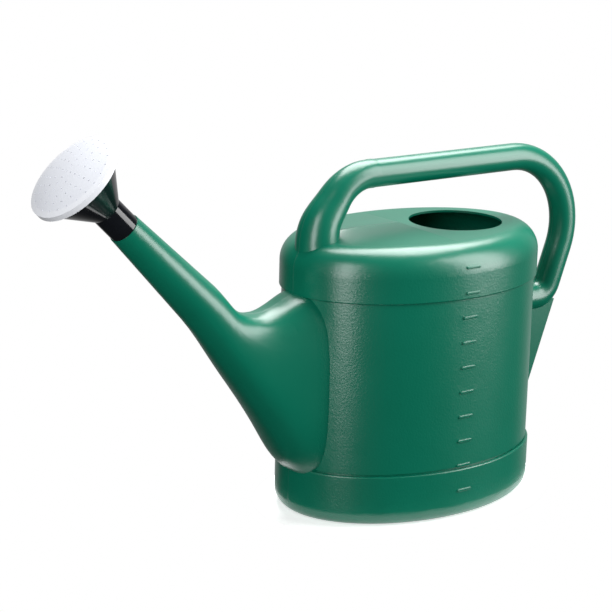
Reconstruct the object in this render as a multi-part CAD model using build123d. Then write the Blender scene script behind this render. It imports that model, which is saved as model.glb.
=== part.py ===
"""Moulded watering can: a one-piece hollow body with its push-in rose.

Millimetres. +Z is up, the spout points along -X, and the origin is the middle of the base.
"""
import os
from math import acos, copysign, cos, degrees, pi, radians, sin, sqrt

from build123d import *

# Tank: an oval drum with a base band, a recessed wall and an overhanging top band
tank_length = 280.0
tank_width = 196.0
tank_height = 269.0
wall = 2.2
base_band_height = 51.0
top_band_height = 50.0
wall_recess = 2.4
band_edge_round = 1.2
groove_height = 1.6
groove_depth = 1.6
groove_lip_round = 0.5
base_round = 15.5
shoulder_round = 26.0
push_up_depth = 4.0
standing_ring_width = 22.0

# Deck: level round the filler hole, with a low hipped roof on its front half
roof_rise = 6.0
roof_inset = 27.0
ridge_start_from_front = 42.0
ridge_length = 81.0
ridge_width = 0.8
hip_run = 13.0
filler_diameter = 92.0
filler_from_rear = 85.4

# Litre marks: raised bars down one side
mark_count = 10
mark_length = 17.0
mark_height = 3.0
mark_relief = 1.1
mark_edge_round = 0.9
first_mark_height = 29.8
last_mark_from_deck = 19.6
mark_offset = -3.0

# Spout: a tapered pipe that opens into a tall foot on the tank
spout_angle = 45.0
tip_reach = 183.2
tip_rise = 33.9
tip_radius = 15.2
pipe_length = 110.0
pipe_root_radius = 21.2
foot_half_width = 41.5
foot_squareness = 3.4
foot_widening = 1.3
foot_depth = 20.0
foot_top = [(64.5, 212.6), (44.0, 206.8), (24.0, 210.4), (7.0, 217.6)]
foot_under = [(84.0, 162.0), (53.0, 120.0), (26.5, 80.5), (7.0, 53.0)]
foot_inner_top = 225.5
foot_inner_under = 31.0
foot_steps = 10
section_points = 16
socket_radius = 13.2
socket_depth = 32.0

# Handle: a hollow tube from the front shoulder over the deck and down to the base band
tube_radius = 13.5
grip_rise = 56.8
front_foot_inset = 26.8
front_leg_angle = 53.0
front_corner_from_front = 60.7
front_bend = 49.0
foot_bend = 40.0
front_foot_depth = 36.0
foot_flare = 8.0
foot_flare_length = 56.0
front_leg_steps = 14
grip_start_from_corner = 30.0
rear_corner_reach = 89.3
rear_bend = 74.0
rear_leg_lean = 19.5
rear_leg_depth = 14.0
knee_height = 177.0
knee_bend = 20.0
gusset_thickness = 16.0
gusset_edge = 10.0
gusset_foot_height = 4.0

# Rose: a funnel with a plug for the spout, a perforated cap and a sealing ring
neck_radius = 14.4
neck_length = 26.0
funnel_length = 41.0
funnel_radius = 40.5
rose_wall = 1.8
neck_bore_radius = 10.0
plug_length = 28.0
plug_clearance = 0.15
plug_chamfer = 1.2
face_radius = 44.75
skirt_length = 5.25
dome_height = 7.5
rim_clearance = 0.12
spray_hole_diameter = 1.4
spray_rings = 6
spray_ring_spacing = 6.5
spray_holes_per_ring_step = 4
seal_section = 1.6
seal_running_clearance = 0.05
seal_from_lip = 9.0
seal_groove_clearance = 0.1

front = -tank_length / 2
rear = tank_length / 2
top_band_bottom = tank_height - top_band_height
shoulder_start = tank_height - shoulder_round
ridge_end = front + ridge_start_from_front + ridge_length
hip_end = ridge_end + hip_run
grip_z = tank_height + grip_rise
mark_spacing = (tank_height - last_mark_from_deck - first_mark_height) / (mark_count - 1)
lip = Vector(front - tip_reach, 0, tank_height + tip_rise)
spout_axis = Vector(-cos(radians(spout_angle)), 0, sin(radians(spout_angle)))
spout_up = Vector(sin(radians(spout_angle)), 0, cos(radians(spout_angle)))
skirt_start = neck_length + funnel_length
dome_start = skirt_start + skirt_length
rim_top = dome_start - rose_wall
seal_inner_radius = socket_radius - seal_running_clearance - seal_section
lip_plane = Plane(origin=lip, x_dir=(0, 1, 0), z_dir=spout_axis)


def oval_drum(inset, bottom, top):
    """Upright oval cylinder, inset from the tank's full oval."""
    outline = Ellipse(tank_length / 2 - inset, tank_width / 2 - inset)
    return extrude(Pos(0, 0, bottom) * outline, top - bottom)


def deck_roof(inset):
    """Low hipped roof from the oval of the deck's front half up to a ridge."""
    deck = tank_height - inset
    half_length, half_width = tank_length / 2 - roof_inset, tank_width / 2 - roof_inset
    hip_turn = degrees(acos(hip_end / half_length))
    hip = half_width * sin(radians(hip_turn))
    near = EllipticalCenterArc((0, 0), half_length, half_width, start_angle=180, arc_size=180 - hip_turn)
    far = EllipticalCenterArc((0, 0), half_length, half_width, start_angle=hip_turn, arc_size=180 - hip_turn)
    eaves = make_face(near + Line((hip_end, -hip), (hip_end, hip)) + far)
    ridge_front = (front + ridge_start_from_front, 0)
    ridge = make_face(Polyline(
        ridge_front, (ridge_end, -ridge_width / 2), (ridge_end, ridge_width / 2), close=True))
    return loft([Pos(0, 0, deck) * eaves, Pos(0, 0, deck + roof_rise) * ridge], ruled=True)


def tank_skin(inset):
    """The tank's outside, moved in by inset all round."""
    base = oval_drum(inset, inset, base_band_height - inset)
    base = fillet(base.edges().group_by(Axis.Z)[0], base_round - inset)
    base = fillet(base.edges().group_by(Axis.Z)[-1], band_edge_round)
    ring = standing_ring_width - inset
    push_up = extrude(Ellipse(tank_length / 2 - ring, tank_width / 2 - ring), push_up_depth + inset, taper=45)
    groove_floor = oval_drum(inset + wall_recess + groove_depth, base_band_height / 2, tank_height / 2)
    middle_bottom = base_band_height + groove_height + inset
    middle = oval_drum(inset + wall_recess, middle_bottom, tank_height - top_band_height / 2)
    middle = fillet(middle.edges().group_by(Axis.Z)[0], groove_lip_round)
    band = oval_drum(inset, top_band_bottom + inset, tank_height - inset)
    band = fillet(band.edges().group_by(Axis.Z)[-1], shoulder_round - inset)
    band = fillet(band.edges().group_by(Axis.Z)[0], band_edge_round)
    return base - push_up + groove_floor + middle + band + deck_roof(inset)


def spout_section(high, low, half_width, squareness):
    """Closed superellipse between an upper and a lower point of the middle plane."""
    middle = (high + low) / 2
    half_height = (high - low).length / 2
    plane = Plane(origin=middle, x_dir=(0, 1, 0), z_dir=Vector(0, 1, 0).cross(high - low))
    points = []
    for step in range(section_points):
        turn = 2 * pi * step / section_points
        across = copysign(abs(cos(turn)) ** (2 / squareness), cos(turn))
        up = copysign(abs(sin(turn)) ** (2 / squareness), sin(turn))
        points.append(plane.from_local_coords((half_width * across, half_height * up, 0)))
    return make_face(Spline(*points, periodic=True))


def pipe_end(along, radius):
    """Upper and lower point of the pipe at a distance down from its lip."""
    centre = lip - spout_axis * along
    return centre + spout_up * radius, centre - spout_up * radius


def spout_pipe(start, end, start_radius, end_radius):
    """Straight stretch of pipe between two distances down from the lip."""
    rings = []
    for along, radius in ((start, start_radius), (end, end_radius)):
        rings.append(spout_section(*pipe_end(along, radius), radius, 2))
    return loft(rings, ruled=True)


def spout_foot(inset):
    """Foot that opens from the pipe to the tank, moved in by inset all round."""
    pipe_top, pipe_under = pipe_end(pipe_length, pipe_root_radius)
    tip_top, tip_under = pipe_end(0, tip_radius)
    tops = [pipe_top] + [Vector(front - ahead, 0, height) for ahead, height in foot_top]
    unders = [pipe_under] + [Vector(front - ahead, 0, height) for ahead, height in foot_under]
    tops.append(Vector(front + foot_depth, 0, foot_inner_top))
    unders.append(Vector(front + foot_depth, 0, foot_inner_under))
    top_edge = Spline(*tops, tangents=(pipe_top - tip_top, tops[-1] - tops[-2]))
    under_edge = Spline(*unders, tangents=(pipe_under - tip_under, unders[-1] - unders[-2]))
    rings = []
    for step in range(foot_steps + 1):
        share = step / foot_steps
        high, low = top_edge @ share, under_edge @ share
        trim = (high - low).normalized() * inset
        half_width = pipe_root_radius + (foot_half_width - pipe_root_radius) * share**foot_widening
        squareness = 2 + (foot_squareness - 2) * share
        rings.append(spout_section(high - trim, low + trim, half_width - inset, squareness))
    return loft(rings)


def handle_line():
    """Corners of the tube's middle line, from inside the front shoulder to inside the rear wall."""
    lean = radians(rear_leg_lean)
    leg = radians(front_leg_angle)
    corner = Vector(front + front_corner_from_front, 0, grip_z)
    foot_x = front + front_foot_inset
    bend = corner - Vector(cos(leg), 0, sin(leg)) * ((corner.X - foot_x) / cos(leg))
    heel = Vector(rear + rear_corner_reach, 0, grip_z)
    knee = heel - Vector(sin(lean), 0, cos(lean)) * ((grip_z - knee_height) / cos(lean))
    end = Vector(rear - rear_leg_depth, 0, knee_height)
    return [Vector(foot_x, 0, bend.Z - front_foot_depth), bend, corner, heel, knee, end]


def tube_ring(line, share, radius):
    """Round section of the tube at a share of its line."""
    return Plane(origin=line @ share, x_dir=(0, 1, 0), z_dir=line % share) * Circle(radius)


def gusset(inset, knee, end):
    """Flat web under the knee, whose outer edge carries on the line of the rear leg."""
    lean = radians(rear_leg_lean)
    outer = knee + Vector(cos(lean), 0, -sin(lean)) * gusset_edge
    web = make_face(Polyline(end, knee, outer, Vector(end.X, 0, gusset_foot_height), close=True))
    if inset:
        web = offset(web, -inset, kind=Kind.INTERSECTION)
    return extrude(web, gusset_thickness / 2 - inset, both=True)


def handle_skin(inset):
    """The handle's outside, moved in by inset all round."""
    foot, bend, corner, heel, knee, end = handle_line()
    grip_start = corner + Vector(grip_start_from_corner, 0, 0)
    front_leg = FilletPolyline(foot, bend, corner, grip_start, radius=[foot_bend, front_bend])
    rings = []
    for step in range(front_leg_steps + 1):
        share = step / front_leg_steps
        swell = foot_flare * (1 - share**4) / (1 + (share * front_leg.length / foot_flare_length) ** 3)
        rings.append(tube_ring(front_leg, share, tube_radius + swell - inset))
    back = FilletPolyline(grip_start, heel, knee, end, radius=[rear_bend, knee_bend])
    tube = sweep(tube_ring(back, 0, tube_radius - inset), path=back)
    return loft(rings) + tube + gusset(inset, knee, end)


def wall_inset(height):
    """How far the tank's side lies inside its full oval at a height."""
    if base_band_height < height < top_band_bottom:
        return wall_recess
    rise = max(0, height - shoulder_start)
    return shoulder_round - sqrt(shoulder_round**2 - rise**2)


def litre_marks():
    """Raised bars down one side, each seated on the band or wall behind it."""
    marks = []
    for number in range(mark_count):
        height = first_mark_height + number * mark_spacing
        face = tank_width / 2 - wall_inset(height)
        seat = Plane(origin=(mark_offset, wall / 2 - face, height), x_dir=(1, 0, 0), z_dir=(0, -1, 0))
        bar = extrude(seat * SlotOverall(mark_length, mark_height), wall / 2 + mark_relief)
        marks.append(fillet(bar.faces().sort_by(Axis.Y)[0].edges(), mark_edge_round))
    return marks


def can_body():
    """Tank, spout and handle in one hollow moulding."""
    pipe = spout_pipe(0, pipe_length, tip_radius, pipe_root_radius)
    outside = tank_skin(0) + pipe + spout_foot(0) + handle_skin(0)
    for mark in litre_marks():
        outside += mark
    socket = spout_pipe(-socket_depth, socket_depth, socket_radius, socket_radius)
    pipe_bore = spout_pipe(socket_depth, pipe_length, socket_radius, pipe_root_radius - wall)
    inside = tank_skin(wall) + socket + pipe_bore + spout_foot(wall) + handle_skin(wall)
    filler = Pos(rear - filler_from_rear, 0, tank_height) * Cylinder(filler_diameter / 2, 2 * shoulder_round)
    return outside - inside - filler


def turned(*outline):
    """Solid of revolution about the spout's axis, from (radius, distance from the lip) points."""
    profile = make_face(Polyline(*[(radius, 0, along) for radius, along in outline], close=True))
    return lip_plane * revolve(profile, Axis.Z)


def rose_cone():
    """Funnel, neck and plug, with the groove for the sealing ring and a rim for the cap."""
    plug = socket_radius - plug_clearance
    inner = funnel_radius - rose_wall
    rim = face_radius - rose_wall - rim_clearance
    groove = seal_section / 2 + seal_groove_clearance
    groove_floor = seal_inner_radius - seal_running_clearance
    return turned(
        (neck_bore_radius, -plug_length),
        (plug - plug_chamfer, -plug_length),
        (plug, plug_chamfer - plug_length),
        (plug, -seal_from_lip - groove),
        (groove_floor, -seal_from_lip - groove),
        (groove_floor, groove - seal_from_lip),
        (plug, groove - seal_from_lip),
        (plug, 0),
        (neck_radius, 0),
        (neck_radius, neck_length),
        (funnel_radius, skirt_start),
        (rim, skirt_start),
        (rim, rim_top),
        (inner, rim_top),
        (inner, skirt_start),
        (neck_bore_radius, neck_length),
    )


def rose_face():
    """Domed cap over the funnel's rim, pierced by rings of spray holes."""
    inner = face_radius - rose_wall
    seat = funnel_radius - rose_wall
    shell = revolve(make_face(
        Polyline((inner, 0, skirt_start), (face_radius, 0, skirt_start), (face_radius, 0, dome_start))
        + ThreePointArc(*dome_arc(face_radius, dome_start, dome_height))
        + Line((0, 0, dome_start + dome_height), (0, 0, dome_start + dome_height - rose_wall))
        + ThreePointArc(*dome_arc(seat, rim_top, dome_start + dome_height - rose_wall - rim_top)[::-1])
        + Polyline((seat, 0, rim_top), (inner, 0, rim_top), (inner, 0, skirt_start))
    ), Axis.Z)
    holes = [Pos(0, 0, dome_start) * spray_hole()]
    for ring in range(1, spray_rings + 1):
        places = PolarLocations(ring * spray_ring_spacing, ring * spray_holes_per_ring_step)
        holes += [Pos(0, 0, dome_start) * place * spray_hole() for place in places]
    return lip_plane * (shell - holes)


def dome_arc(radius, along, height):
    """Start, middle and end of a shallow dome's outline, from its rim to its crown."""
    ball = (radius**2 + height**2) / (2 * height)
    half = radius / 2
    middle = along + height - ball + (ball**2 - half**2) ** 0.5
    return (radius, 0, along), (half, 0, middle), (0, 0, along + height)


def spray_hole():
    """Cutter for one spray hole."""
    return Cylinder(spray_hole_diameter / 2, 4 * dome_height)


def rose_seal():
    """Rubber ring in the plug's groove."""
    middle = socket_radius - seal_running_clearance - seal_section / 2
    return lip_plane * Pos(0, 0, -seal_from_lip) * Torus(middle, seal_section / 2)


os.makedirs("parts", exist_ok=True)
for make in (can_body, rose_cone, rose_face, rose_seal):
    piece = make()
    piece.label = make.__name__
    export_step(piece, f"parts/{make.__name__}.step")
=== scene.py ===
import math

import bpy
import numpy as np
from mathutils import Matrix, Vector

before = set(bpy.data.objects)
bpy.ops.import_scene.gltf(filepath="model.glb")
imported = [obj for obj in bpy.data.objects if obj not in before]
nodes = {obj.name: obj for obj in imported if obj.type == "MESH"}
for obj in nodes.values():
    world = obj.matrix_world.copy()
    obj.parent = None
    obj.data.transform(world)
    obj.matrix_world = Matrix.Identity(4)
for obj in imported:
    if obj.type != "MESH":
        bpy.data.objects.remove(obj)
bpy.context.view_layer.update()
scene = bpy.context.scene
scene.view_settings.view_transform = "Standard"
print("frame loaded:", sorted(nodes))

# place in metres, turn, lift and roll in degrees, focal length and sensor in mm
cameraLook = {"place": (-1.1985, -1.4654, 0.6910), "turn": -36.238, "lift": 14.952, "roll": 1.486,
              "focal": 117.622, "sensor": 36.0}


def makeCamera(look):
    # back points away from the can, level is flat, and roll turns right and up about back
    turn, lift, roll = (math.radians(look[key]) for key in ("turn", "lift", "roll"))
    back = Vector((math.sin(turn) * math.cos(lift), -math.cos(turn) * math.cos(lift),
                   math.sin(lift)))
    level = Vector((math.cos(turn), math.sin(turn), 0))
    upright = back.cross(level)
    right = level * math.cos(roll) + upright * math.sin(roll)
    up = upright * math.cos(roll) - level * math.sin(roll)
    data = bpy.data.cameras.new("photoCamera")
    data.lens = look["focal"]
    data.sensor_width = look["sensor"]
    camera = bpy.data.objects.new("photoCamera", data)
    camera.matrix_world = Matrix.LocRotScale(
        Vector(look["place"]), Matrix((right, up, back)).transposed().to_quaternion(), None)
    scene.collection.objects.link(camera)
    scene.camera = camera


makeCamera(cameraLook)
print("camera placed")

# each aims at a point of the can; places and sizes in metres, power in watts
softboxes = {
    "overhead": {"place": (0.44, 0.48, 1.60), "aim": (0, 0, 0.26), "size": (1.3, 1.3), "power": 51},
    "leftBox": {"place": (-1.21, -0.70, 0.66), "aim": (-0.05, 0, 0.45), "size": (0.5, 1.7),
                "power": 15.3},
    "rightBox": {"place": (0.95, -0.93, 0.74), "aim": (0, 0, 0.38), "size": (0.8, 1.6),
                 "power": 27.2},
}


def addSoftboxes(boxes):
    for name, box in boxes.items():
        data = bpy.data.lights.new(name, "AREA")
        data.shape = "RECTANGLE"
        data.size, data.size_y = box["size"]
        data.energy = box["power"]
        lamp = bpy.data.objects.new(name, data)
        lamp.location = box["place"]
        aim = Vector(box["aim"]) - Vector(box["place"])
        lamp.rotation_euler = aim.to_track_quat("-Z", "Y").to_euler()
        scene.collection.objects.link(lamp)


addSoftboxes(softboxes)


def addMath(tree, operation, first, second=None):
    node = tree.nodes.new("ShaderNodeMath")
    node.operation = operation
    for place, value in enumerate((first, second)):
        if value is None:
            continue
        if isinstance(value, (int, float)):
            node.inputs[place].default_value = value
        else:
            tree.links.new(value, node.inputs[place])
    return node.outputs[0]


def mapRange(tree, value, old, new):
    node = tree.nodes.new("ShaderNodeMapRange")
    node.interpolation_type = "SMOOTHSTEP"
    for label, number in zip(("From Min", "From Max", "To Min", "To Max"), (*old, *new)):
        node.inputs[label].default_value = number
    tree.links.new(value, node.inputs["Value"])
    return node.outputs["Result"]


def rayMask(tree, *kinds):
    # 1 on these kinds of ray, 0 on others
    path = tree.nodes.new("ShaderNodeLightPath")
    mask = path.outputs[kinds[0]]
    for kind in kinds[1:]:
        mask = addMath(tree, "MAXIMUM", mask, path.outputs[kind])
    return mask


# reflections see a dark side by the camera and a pale backdrop, with the edge between them
# given as cosines of the angle to backdropSide
room = {"fill": 0.04, "nearSide": 0.02, "backdrop": 0.50, "backdropSide": (0.633, 0.774, 0.0),
        "backdropEdge": (0.55, 0.97)}


def makeWorld(values):
    # strength: white for the camera, the room in reflections, a low fill on matt surfaces
    world = bpy.data.worlds.new("studio")
    scene.world = world
    world.use_nodes = True
    tree = world.node_tree
    background = tree.nodes["Background"]
    background.inputs["Color"].default_value = (1, 1, 1, 1)
    way = tree.nodes.new("ShaderNodeTexCoord")
    facing = tree.nodes.new("ShaderNodeVectorMath")
    facing.operation = "DOT_PRODUCT"
    facing.inputs[1].default_value = values["backdropSide"]
    tree.links.new(way.outputs["Generated"], facing.inputs[0])
    gradient = mapRange(tree, facing.outputs["Value"], values["backdropEdge"],
                        (values["nearSide"], values["backdrop"]))
    mirrored = rayMask(tree, "Is Glossy Ray", "Is Transmission Ray")
    reflected = addMath(tree, "MULTIPLY", mirrored, gradient)
    seen = addMath(tree, "MAXIMUM", rayMask(tree, "Is Camera Ray"), reflected)
    matt = addMath(tree, "MULTIPLY", rayMask(tree, "Is Diffuse Ray"), values["fill"])
    tree.links.new(addMath(tree, "MAXIMUM", seen, matt), background.inputs["Strength"])


# a small oval floor just under the base: half axes and drop in metres
plinth = {"colour": (0.84, 0.84, 0.84), "lift": 0.60, "oval": (0.160, 0.118), "sides": 96,
          "drop": 0.0002}


def makeFloor(values):
    # an oval: cosine and sine of evenly spaced turns, times the half axes
    turns = np.linspace(0, 2 * math.pi, values["sides"], endpoint=False)
    rim = np.column_stack((np.cos(turns), np.sin(turns))) * values["oval"]
    level = np.full((len(rim), 1), -values["drop"])
    mesh = bpy.data.meshes.new("floor")
    mesh.from_pydata(np.hstack((rim, level)).tolist(), [], [tuple(range(len(rim)))])
    floor = bpy.data.objects.new("floor", mesh)
    scene.collection.objects.link(floor)
    material = bpy.data.materials.new("paleFloor")
    material.use_nodes = True
    tree = material.node_tree
    tree.nodes.clear()
    out = tree.nodes.new("ShaderNodeOutputMaterial")
    matt = tree.nodes.new("ShaderNodeBsdfDiffuse")
    matt.inputs["Color"].default_value = (*values["colour"], 1)
    glow = tree.nodes.new("ShaderNodeEmission")
    add = tree.nodes.new("ShaderNodeAddShader")
    mask = rayMask(tree, "Is Camera Ray", "Is Glossy Ray", "Is Transmission Ray")
    tree.links.new(addMath(tree, "MULTIPLY", mask, values["lift"]), glow.inputs["Strength"])
    tree.links.new(matt.outputs[0], add.inputs[0])
    tree.links.new(glow.outputs[0], add.inputs[1])
    tree.links.new(add.outputs[0], out.inputs["Surface"])
    mesh.materials.append(material)


makeWorld(room)
makeFloor(plinth)
print("studio lit")


def newGroup(name, inputs, outputs):
    # each group reads a place, its Vector; the other sockets are numbers
    group = bpy.data.node_groups.new(name, "ShaderNodeTree")
    group.interface.new_socket("Vector", in_out="INPUT", socket_type="NodeSocketVector")
    for way, labels in (("INPUT", inputs), ("OUTPUT", outputs)):
        for label in labels:
            group.interface.new_socket(label, in_out=way, socket_type="NodeSocketFloat")
    return group, group.nodes.new("NodeGroupInput"), group.nodes.new("NodeGroupOutput")


def makeMouldGrain(detail):
    # moulded skin: fine pits for the height, a broad drift for roughness and tone
    group, into, out = newGroup(
        "mouldGrain", ("Pit Scale", "Drift Scale", "Base Roughness", "Roughness Drift"),
        ("Height", "Roughness", "Tone"))
    noises = {}
    for label, octaves in detail.items():
        noise = group.nodes.new("ShaderNodeTexNoise")
        noise.inputs["Detail"].default_value = octaves
        group.links.new(into.outputs["Vector"], noise.inputs["Vector"])
        group.links.new(into.outputs[label + " Scale"], noise.inputs["Scale"])
        noises[label] = noise.outputs["Fac"]
    centred = addMath(group, "SUBTRACT", noises["Drift"], 0.5)  # the noise runs from 0 to 1
    sway = addMath(group, "MULTIPLY", centred, into.outputs["Roughness Drift"])
    rough = addMath(group, "ADD", into.outputs["Base Roughness"], sway)
    group.links.new(noises["Pit"], out.inputs["Height"])
    group.links.new(rough, out.inputs["Roughness"])
    group.links.new(noises["Drift"], out.inputs["Tone"])
    return group


def makeTankWall(oval):
    # 1 on the tank's upright wall, 0 on the deck, the spout and the handle:
    # the squares of x and y over the half axes add up to 1 on the oval
    group, into, out = newGroup("tankWall", (), ("Share",))
    axes = group.nodes.new("ShaderNodeSeparateXYZ")
    group.links.new(into.outputs["Vector"], axes.inputs[0])
    squares = []
    for axis, half in (("X", "halfLength"), ("Y", "halfWidth")):
        share = addMath(group, "DIVIDE", axes.outputs[axis], oval[half])
        squares.append(addMath(group, "POWER", share, 2.0))
    within = mapRange(group, addMath(group, "ADD", *squares), oval["fade"], (1.0, 0.0))
    below = mapRange(group, axes.outputs["Z"], (oval["shoulder"], oval["deck"]), (1.0, 0.0))
    group.links.new(addMath(group, "MULTIPLY", within, below), out.inputs["Share"])
    return group


def makeSeamLine(halfWidth):
    # the mould's parting line: a fine ridge along the middle plane
    group, into, out = newGroup("seamLine", (), ("Height",))
    axes = group.nodes.new("ShaderNodeSeparateXYZ")
    group.links.new(into.outputs["Vector"], axes.inputs[0])
    aside = addMath(group, "ABSOLUTE", axes.outputs["Y"])
    group.links.new(mapRange(group, aside, (0.0, halfWidth), (1.0, 0.0)), out.inputs["Height"])
    return group


def makeRoseRadius(axis):
    # distance from the spout's axis: length of the cross product with the axis
    group, into, out = newGroup("roseRadius", (), ("Radius",))
    fromLip = group.nodes.new("ShaderNodeVectorMath")
    fromLip.operation = "SUBTRACT"
    fromLip.inputs[1].default_value = axis["lip"]
    square = group.nodes.new("ShaderNodeVectorMath")
    square.operation = "CROSS_PRODUCT"
    square.inputs[1].default_value = axis["way"]
    length = group.nodes.new("ShaderNodeVectorMath")
    length.operation = "LENGTH"
    group.links.new(into.outputs["Vector"], fromLip.inputs[0])
    group.links.new(fromLip.outputs["Vector"], square.inputs[0])
    group.links.new(square.outputs["Vector"], length.inputs[0])
    group.links.new(length.outputs["Value"], out.inputs["Radius"])
    return group


noiseDetail = {"Pit": 2.0, "Drift": 3.0}
mouldGrain = makeMouldGrain(noiseDetail)
toneStops = {"darkTone": 0.3, "lightTone": 0.7}  # where the drift reaches each tone
bumpUnit = 0.001  # a height of 1 is a millimetre


def addGroup(tree, group, place):
    node = tree.nodes.new("ShaderNodeGroup")
    node.node_tree = group
    tree.links.new(place, node.inputs["Vector"])
    return node


def plasticMaterial(name, look):
    material = bpy.data.materials.new(name)
    material.use_nodes = True
    tree = material.node_tree
    shader = tree.nodes["Principled BSDF"]
    place = tree.nodes.new("ShaderNodeTexCoord").outputs["Object"]
    grain = addGroup(tree, mouldGrain, place)
    grain.inputs["Pit Scale"].default_value = look["pitScale"]
    grain.inputs["Drift Scale"].default_value = look["driftScale"]
    grain.inputs["Base Roughness"].default_value = look["roughness"]
    grain.inputs["Roughness Drift"].default_value = look["roughnessDrift"]
    tones = tree.nodes.new("ShaderNodeValToRGB")
    for stop, (tone, position) in zip(tones.color_ramp.elements, toneStops.items()):
        stop.color = (*look[tone], 1)
        stop.position = position
    tree.links.new(grain.outputs["Tone"], tones.inputs["Fac"])
    tree.links.new(tones.outputs["Color"], shader.inputs["Base Color"])
    tree.links.new(grain.outputs["Roughness"], shader.inputs["Roughness"])
    bump = tree.nodes.new("ShaderNodeBump")
    bump.inputs["Distance"].default_value = bumpUnit
    depth = addMath(tree, "MULTIPLY", grain.outputs["Height"], look["pitDepth"])
    tree.links.new(depth, bump.inputs["Height"])
    tree.links.new(bump.outputs["Normal"], shader.inputs["Normal"])
    shader.inputs["IOR"].default_value = look["ior"]
    shader.inputs["Specular IOR Level"].default_value = look["sheen"]
    return material, {"tree": tree, "shader": shader, "place": place, "tones": tones,
                      "bump": bump, "depth": depth}


def greenMaterial(look):
    # grain on the tank's wall, less on the rest, and the parting line over both
    material, parts = plasticMaterial("greenPolyethylene", look)
    tree = parts["tree"]
    wall = addGroup(tree, makeTankWall(look["oval"]), parts["place"])
    seam = addGroup(tree, makeSeamLine(look["seamHalfWidth"]), parts["place"])
    share = mapRange(tree, wall.outputs["Share"], (0.0, 1.0), (look["smoothShare"], 1.0))
    skin = addMath(tree, "MULTIPLY", parts["depth"], share)
    ridge = addMath(tree, "MULTIPLY", seam.outputs["Height"], look["seamDepth"])
    tree.links.new(addMath(tree, "ADD", skin, ridge), parts["bump"].inputs["Height"])
    return material


def faceMaterial(look):
    # the face's edge ring is given a whiter tone than the middle
    material, parts = plasticMaterial("whitePolypropylene", look)
    tree = parts["tree"]
    ring = addGroup(tree, makeRoseRadius(look["axis"]), parts["place"])
    edge = mapRange(tree, ring.outputs["Radius"], look["edgeFrom"], (0.0, 1.0))
    mix = tree.nodes.new("ShaderNodeMix")
    mix.data_type = "RGBA"
    tree.links.new(edge, mix.inputs["Factor"])
    tree.links.new(parts["tones"].outputs["Color"], mix.inputs["A"])
    mix.inputs["B"].default_value = (*look["edgeTone"], 1)
    tree.links.new(mix.outputs["Result"], parts["shader"].inputs["Base Color"])
    return material


def dress(node, material):
    for slot in nodes[node].material_slots:
        slot.material = material


# tones are linear, scales in noise cells per metre, depths in mm, other lengths in metres
greenBody = {"darkTone": (0.0, 0.153, 0.089), "lightTone": (0.0, 0.169, 0.101), "roughness": 0.30,
             "roughnessDrift": 0.06, "pitScale": 480.0, "driftScale": 9.0, "pitDepth": 0.16,
             "ior": 1.5, "sheen": 0.76, "smoothShare": 0.04, "seamHalfWidth": 0.0006,
             "seamDepth": 0.25,
             "oval": {"halfLength": 0.140, "halfWidth": 0.098, "fade": (1.03, 1.14),
                      "shoulder": 0.243, "deck": 0.262}}
blackFunnel = {"darkTone": (0.006, 0.007, 0.009), "lightTone": (0.010, 0.012, 0.016),
               "roughness": 0.10, "roughnessDrift": 0.06, "pitScale": 500.0, "driftScale": 30.0,
               "pitDepth": 0.01, "ior": 1.5, "sheen": 0.5}
whiteFace = {"darkTone": (0.79, 0.81, 0.87), "lightTone": (0.81, 0.835, 0.894), "roughness": 0.34,
             "roughnessDrift": 0.06, "pitScale": 800.0, "driftScale": 30.0, "pitDepth": 0.012,
             "ior": 1.5, "sheen": 0.5, "edgeTone": (0.85, 0.87, 0.92), "edgeFrom": (0.0385, 0.0405),
             "axis": {"lip": (-0.3232, 0.0, 0.3029), "way": (-0.70711, 0.0, 0.70711)}}
sealRubber = {"darkTone": (0.012, 0.012, 0.013), "lightTone": (0.022, 0.022, 0.023),
              "roughness": 0.62, "roughnessDrift": 0.2, "pitScale": 2500.0, "driftScale": 200.0,
              "pitDepth": 0.06, "ior": 1.5, "sheen": 0.5}

dress("can_body", greenMaterial(greenBody))
dress("rose_cone", plasticMaterial("blackPolypropylene", blackFunnel)[0])
dress("rose_face", faceMaterial(whiteFace))
dress("rose_seal", plasticMaterial("sealRubber", sealRubber)[0])
print("finishes applied")
